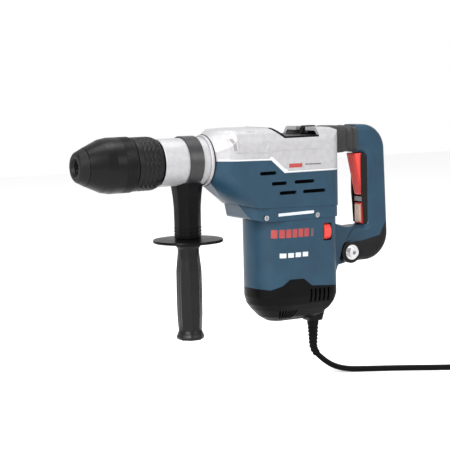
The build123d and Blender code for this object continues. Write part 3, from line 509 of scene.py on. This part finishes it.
def make_case_details():
    """Cast rims along the parting line, lightened as a painted highlight, cast lines, ribs, a film of
    painted shade in a notch and a small generic badge.
    """
    # The rims along the parting line and the slope are lightened cast metal: a painted highlight.
    strip("parting_rim", "gear_housing", [(s, h + 1.3) for s, h in PARTING], 2.2, BEAD, "housing",
          "cast_highlight")
    strip("slope_rim", "gear_housing", [(262, 1.8), (267, -0.6), (284, -15.6), (290, -17.4)], 4.6,
          (SUNK, 0.3, 0.5, 0.55, 0.5, 0.3, SUNK), "housing", "cast_highlight")
    strip("cast_line_front", "gear_housing", [(206, 10.4), (262, 8.6)], 1.8, BEAD, "housing", "cast_metal")
    strip("cast_line_rear", "gear_housing", [(265, 9.6), (290, 11.2), (345, 10.6)], 1.6, BEAD,
          "housing", "cast_metal")
    for k, station in enumerate((203.5, 213.5)):
        strip(f"cast_rib_{k + 1}", "gear_housing", [(station, 30), (station + 0.6, 13.5)], 3.0, BEAD,
              "housing", "cast_metal")
    # A flat dark film in shadow_cast: painted shade for the shade inside a notch of the casting.
    strip("notch_shade", "gear_housing", [(206, 30), (209, 22), (210.5, 12)], 5.4, PRINT, "housing",
          "shadow_cast")
    for k, radius in enumerate((6.5, 11.0)):
        arc = [(249.5 + radius * math.cos(a), 20 + radius * math.sin(a))
               for a in (math.radians(-50 + 14 * n) for n in range(11))]
        strip(f"cast_arc_{k + 1}", "gear_housing", arc, 1.6, BEAD, "housing", "cast_metal")
    strip("badge_red", "gear_housing", [(290.5, -10.6), (314, -10.6)], 7.6, PRINT, "housing", "print_red")
    strip("badge_line", "gear_housing", [(316, -9.6), (344, -10.2)], 2.0, PRINT, "housing", "print_dark")


def make_gasket():
    """Dark joint where the neck's flange meets the gear case."""
    section = ((185.2, 32.4), (185.2, 34.6), (185.8, 34.9), (186.4, 34.6), (186.4, 32.4))
    line = [Vector(p) for p in section]
    points, faces = bridge(spindle_rings(line, 96), wrap=True)
    add_piece("flange_gasket", points, faces, "housing", "soft_black", sharp=50.0)


def make_marks():
    """Plain bars on the motor case: one pale, a red row and a pale row, from the top down."""
    strip("mark_top_wide", "motor_shell", [(272.6, -76), (332, -75)], 5.4, PRINT, "housing",
          "print_white")
    for k in range(6):
        station = 268 + 9.4 * k
        strip(f"mark_red_{k + 1}", "motor_shell", [(station, -102.2), (station + 8.4, -102.6)], 15.5, PRINT,
              "housing", "print_red", step=0.8)
    strip("mark_red_tail", "motor_shell", [(325, -103), (331.5, -103.3)], 15.5, PRINT, "housing",
          "print_dim")
    for k in range(4):
        station = 277.5 + 11.4 * k
        strip(f"mark_low_{k + 1}", "motor_shell", [(station, -132), (station + 9.8, -132.3)], 8.6, PRINT,
              "housing", "print_white", step=0.8)


# (front station, rear station, height) of each slot in the blue cover
VENTS = ((246, 272, -19), (264, 288, -33.5), (300, 332, -33), (276, 303, -46.7), (313, 350, -46.6))


def make_vent_shades():
    """A dished near-black sheet behind each slot of the cover: painted shade for the dark inside of the
    case.
    """
    rows, columns = 9, 13
    mouth_y, depth, half_height, overlap = 43.9, 5.5, 3.2, 1.2
    for side in (-1, 1):
        for number, (front, rear, height) in enumerate(VENTS, 1):
            points = []
            for a in range(rows):
                for b in range(columns):
                    across_slot, along_slot = 2 * a / (rows - 1) - 1, 2 * b / (columns - 1) - 1
                    dish = (1 - across_slot**2) * (1 - along_slot**4)
                    station = (front + rear) / 2 + along_slot * ((rear - front) / 2 + overlap)
                    points.append(at(station, height + half_height * across_slot,
                                     side * (mouth_y - depth * dish)))
            label = "left" if side < 0 else "right"
            add_piece(f"vent_shade_sheet_{label}_{number}", points, sheet_faces(rows, columns), "housing",
                      "shadow_black")


# ---------------------------------------------------------------- rear handle

def box_ring(station, half_width, low, high, corner, count=10):
    """A rounded rectangle square to the spindle, as a ring of points."""
    middle, half_height = (low + high) / 2, (high - low) / 2
    ring = []
    for cx, cz, start in ((1, 1, 0), (-1, 1, 90), (-1, -1, 180), (1, -1, 270)):
        for k in range(count):
            a = math.radians(start + 90 * k / (count - 1))
            ring.append(at(station, middle + cz * (half_height - corner) + corner * math.sin(a),
                           cx * (half_width - corner) + corner * math.cos(a)))
    return ring


# (station, half width) points down the boot's outside
BELLOWS = ((376.8, 20.6), (379, 21), (383, 21), (399, 20.6), (402.6, 20.2), (405, 18.4), (406.9, 18.0),
           (409, 18.5), (411.4, 20.2), (413.8, 20.2), (416, 18.2), (418, 17.8), (420, 18.2), (422.6, 19.2))


def make_bellows():
    """Soft boot between the case and the handle: smooth in front with two folds behind."""
    line = split_runs([Vector(p) for p in BELLOWS], 2.5)
    outer = [box_ring(s, half, BOOT_H - half * 0.93, BOOT_H - 0.6 + half * 0.93, 8) for s, half in line]
    inner = [box_ring(s, 17.2, 4.4, 35.2, 5) for s in (422.6, 410, 395, 376.8)]
    points, faces = bridge(outer + inner, wrap=True)
    boot = add_piece("bellows_boot", points, faces, None, "boot_rubber", ["bellows"], sharp=60.0)
    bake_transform(boot)


def make_trigger():
    """Trigger with lengthwise ridges down its face, rounded at its sides."""
    height_top, height_low, front_top = -1.6, -61.0, 421.3
    half, shoulder, rear = 11.2, 438.0, 446.0
    ridge_depth = 0.55
    rows, columns = 30, 57
    rings = []
    for a in range(rows + 1):
        t = a / rows
        height = height_top + (height_low - height_top) * t
        front = front_top + 13.2 * t + 5.0 * max(0.0, t - 0.94) ** 0.8  # leans back and curls in
        if a == 0:
            front += 1.2  # a small chamfer at the top
        ring = []
        for b in range(columns):
            side = 2 * b / (columns - 1) - 1
            crown = 4.2 * (1 - math.sqrt(max(0.0, 1 - abs(side) ** 3.2)))
            ridge = 0.5 + 0.5 * math.cos(6 * math.pi * side) if abs(side) < 0.84 else 0.0
            fade = ridge_depth * min(1.0, t / 0.1, (1 - t) / 0.08)
            ring.append(at(front + crown + fade * (1 - ridge), height, half * side))
        ring += [at(shoulder, height, half), at(rear, height, half)]
        ring += [at(rear, height, -half), at(shoulder, height, -half)]
        rings.append(ring)
    points, faces = bridge(rings)
    add_piece("trigger_face", points, faces, "trigger", "red_plastic", ["trigger"], sharp=50.0)


def rounded_bar(name, front, rear, low, high, half, radius, body, slot, replaced=()):
    """A bar between two stations with its long edges and its front corners rounded."""
    ends = soften([(low, front + radius * 0.6, 0), (low + 0.4, front, 0.4), (high - 0.4, front, 0.4),
                   (high, front + radius * 0.6, 0)])
    inner = half - radius
    rings = []
    for height, start in split_runs(ends, 4.0):
        ring = [at(rear, height, -half)]
        for side, turns in ((-1, range(7)), (1, range(6, -1, -1))):
            for k in turns:
                a = math.radians(15 * k)
                ring.append(at(start + radius - radius * math.sin(a), height,
                               side * (inner + radius * math.cos(a))))
        ring.append(at(rear, height, half))
        rings.append(ring)
    points, faces = bridge(rings)
    return add_piece(name, points, faces, body, slot, replaced)


# (height, front station) points down the cheeks beside the trigger
CHEEK = ((-1, 436), (-4, 432.5), (-58, 432.5), (-74, 434), (-100, 435.5), (-103.2, 440))


def make_grip_trim():
    """Black cheeks beside the trigger, the grey bridge under it and a pale patch on the lock button's
    front, which is a painted highlight.
    """
    rear, inside, outside = 446, 11.75, 14.6
    for side, label in ((-1, "left"), (1, "right")):
        rings = []
        for height, front in split_runs([Vector(p) for p in CHEEK], 4.0):
            corners = ((rear, inside), (front + 1.2, inside), (front, 12.6), (front + 0.8, 13.8),
                       (front + 3, outside), (rear, outside))
            rings.append([at(station, height, side * out) for station, out in corners])
        points, faces = bridge(rings)
        add_piece(f"grip_cheek_{label}", points, faces, "rear_handle", "soft_black")
    rounded_bar("trigger_bridge", 435.4, rear, -70.8, -63.4, 10.6, 3, "rear_handle", "grey_plastic")
    rounded_bar("lock_button_cap", 434.6, 450, -102, -72.6, 8, 3, "lock_button", "red_plastic",
                ["lock_button"])
    # A pale patch over the red button's front: painted highlight.
    rounded_bar("lock_button_glare", 433.6, 437.4, -100, -74.6, 6.9, 2, "lock_button", "painted_glare")


def make_handle_ribs():
    """Upright ribs on the cover of the handle's lower corner."""
    for k in range(7):
        station = 424.5 + 5.2 * k
        low = -149 + 4.0 * max(0, k - 4)
        strip(f"corner_rib_{k + 1}", "handle_jacket", [(station + 1, -129), (station, low)], 2.6,
              (SUNK, 0.5, 0.75, 0.5, SUNK), "rear_handle", "grip_rubber")


def make_handle_back():
    """Dark strip down the back of the rear handle: a rubber back that also stands as painted shade along
    the handle's rear edge.
    """
    surface = surface_of("rear_handle")
    sides, heights = range(-16, 17), range(6, -122, -2)
    behind, back, lift = 560, 490, 0.5
    points = []
    for height in heights:
        for side in sides:
            hit, normal = surface.ray_cast(at(behind, height, side), Vector((-1, 0, 0)))[:2]
            if hit is None:  # just past the handle's edge
                hit, normal = surface.find_nearest(at(back, height, side))[:2]
            edge = side in (sides[0], sides[-1]) or height in (heights[0], heights[-1])
            points.append(hit + normal * ((SUNK if edge else lift) * MM))
    add_piece("handle_back_shade", points, sheet_faces(len(heights), len(sides)), "rear_handle",
              "grip_rubber", sharp=60.0)


# ---------------------------------------------------------------- strain relief

CORD_DIAMETER = 8.0


def make_relief():
    """Ribbed boot that tapers along the cord's way out."""
    station, straight_top, straight_end = 356, -232.5, -267.0
    bend_r, turn, heading = 22.0, math.radians(42), math.radians(-24)
    root_r, taper = 8.6, 3.4
    rib_start, rib_pitch, rib_depth = 8, 5.2, 0.9
    forward = Vector((math.cos(heading), math.sin(heading), 0))
    start = at(station, straight_end)
    steps, around = 96, 40
    straight = straight_top - straight_end
    total = straight + bend_r * turn
    rings = []
    for k in range(steps + 1):
        done = total * k / steps
        if done <= straight:
            centre, way = at(station, straight_top - done), Vector((0, 0, -1))
        else:
            a = (done - straight) / bend_r
            centre = start + (forward * (1 - math.cos(a)) - Vector((0, 0, math.sin(a)))) * bend_r * MM
            way = forward * math.sin(a) - Vector((0, 0, math.cos(a)))
        radius = root_r - taper * (done / total) ** 0.8
        if done > rib_start:
            radius -= rib_depth * max(0.0, math.sin(2 * math.pi * (done - rib_start) / rib_pitch)) ** 0.5
        if k == steps:
            radius = CORD_DIAMETER / 2 + 0.1
        out = way.cross(Vector((0, 1, 0))).normalized()
        beside = way.cross(out)
        angles = [2 * math.pi * n / around for n in range(around)]
        rings.append([centre + (out * math.cos(a) + beside * math.sin(a)) * radius * MM for a in angles])
    points, faces = bridge(rings)
    return add_piece("cord_boot", points, faces, "housing", "cord_rubber", ["strain_relief"], sharp=70.0)


# ---------------------------------------------------------------- cord

# row-frame points in mm: from the strain relief down to the floor and away, and from the coil to the plug
ROUTE = [(-99.838, -2.298, -224.721), (-94.34, -4.75, -231.41), (-79.6, -11.3, -243.25),
         (-61.2, -19.5, -248.65), (-36.5, -31.5, -249.25), (5, -54, -249.25), (51, -84, -249.25),
         (99, -111, -249.25), (149, -140, -249.25)]
TAIL = [(246.0, -97.0, -241.1), (251.6, -72.7, -242.4), (259.9, -52.3, -243.25)]
TURN_POINTS = 16  # curve points in one turn of the coil


def coil_points():
    """The put-away length: one layer of turns winding in, and one on top of it winding out."""
    centre_x, centre_y = 181.6, -83.5
    low, high = -249.25, -241.1
    widest, narrowest, pitch = 65.2, 35.0, 8.05
    start = math.radians(240)
    found = []
    inward, outward = round(3.75 * TURN_POINTS), round(3.5 * TURN_POINTS)
    climb = 5  # points over which the cord climbs onto the lower layer
    for k in range(1, inward + outward + 1):
        past = k - inward
        if past > 0:
            radius = narrowest + pitch * max(0, past - 2) / TURN_POINTS
            height = low + (high - low) * min(1, past / climb)
        else:
            radius, height = widest + (narrowest - widest) * k / inward, low
        turn = start + 2 * math.pi * k / TURN_POINTS
        found.append((centre_x + radius * math.cos(turn), centre_y + radius * math.sin(turn), height))
    return found


def make_cord(boot):
    """The mains cord on one smooth curve, from the boot round its coil to the plug."""
    points = ROUTE + coil_points() + TAIL
    curve = bpy.data.curves.new("mains_cord", "CURVE")
    curve.dimensions = "3D"
    curve.bevel_depth = CORD_DIAMETER / 2 * MM
    curve.bevel_resolution = 5
    curve.resolution_u = 6
    curve.use_fill_caps = True
    spline = curve.splines.new("NURBS")
    spline.points.add(len(points) - 1)
    for point, place in zip(spline.points, points):
        point.co = (*(c * MM for c in place), 1.0)
    spline.order_u = 3
    spline.use_endpoint_u = True
    curve.materials.append(MATERIALS["cord_rubber"])
    cord = bpy.data.objects.new("mains_cord", curve)
    bpy.context.scene.collection.objects.link(cord)
    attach(cord, "housing")
    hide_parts("cord_lead", "cord_coil", "cord_tail")


make_lock_sleeve()
make_rear_sleeve()
make_springs()
make_side_grip()
make_bracket()
make_case_details()
make_marks()
make_vent_shades()
make_bellows()
make_trigger()
make_grip_trim()
make_handle_ribs()
make_handle_back()
make_gasket()
make_cord(make_relief())


# ---------------------------------------------------------------- floor and light

def make_floor():
    """A plain pale floor that the cord lies on."""
    half = 4.0
    corners = [(-half, -half, 0), (half, -half, 0), (half, half, 0), (-half, half, 0)]
    mesh = bpy.data.meshes.new("floor")
    mesh.from_pydata(corners, [], [(0, 1, 2, 3)])
    floor = bpy.data.objects.new("floor", mesh)
    floor.location = (0, 0, FLOOR_Z)
    bpy.context.scene.collection.objects.link(floor)
    material("floor", (0.9, 0.9, 0.9), 0.8, bump=0.02, mottle=0.01)
    mesh.materials.append(MATERIALS["floor"])


def area_light(name, place, target, width, height, power):
    """A soft rectangular light that faces its target; sizes in metres, power in watts."""
    data = bpy.data.lights.new(name, "AREA")
    data.shape = "RECTANGLE"
    data.size, data.size_y = width, height
    data.energy = power
    light = bpy.data.objects.new(name, data)
    light.location = place
    light.rotation_euler = (target - place).to_track_quat("-Z", "Y").to_euler()
    bpy.context.scene.collection.objects.link(light)


def make_light():
    """A large key from the left, a fill from the right and one overhead, in a white room."""
    middle = at(220, -90)
    area_light("key_light", middle + Vector((-1.7, -1.1, 1.1)), middle, 0.7, 1.3, 60)
    area_light("fill_light", middle + Vector((0.9, -1.9, 0.9)), middle, 0.6, 1.0, 14)
    area_light("top_light", middle + Vector((0.0, 0.0, 1.9)), middle, 1.4, 0.8, 34)
    world = bpy.data.worlds.new("studio")
    world.use_nodes = True
    world.node_tree.nodes["Background"].inputs["Color"].default_value = (1, 1, 1, 1)
    world.node_tree.nodes["Background"].inputs["Strength"].default_value = 1.0
    bpy.context.scene.world = world
    bpy.context.scene.view_settings.view_transform = "Standard"


make_floor()
make_light()
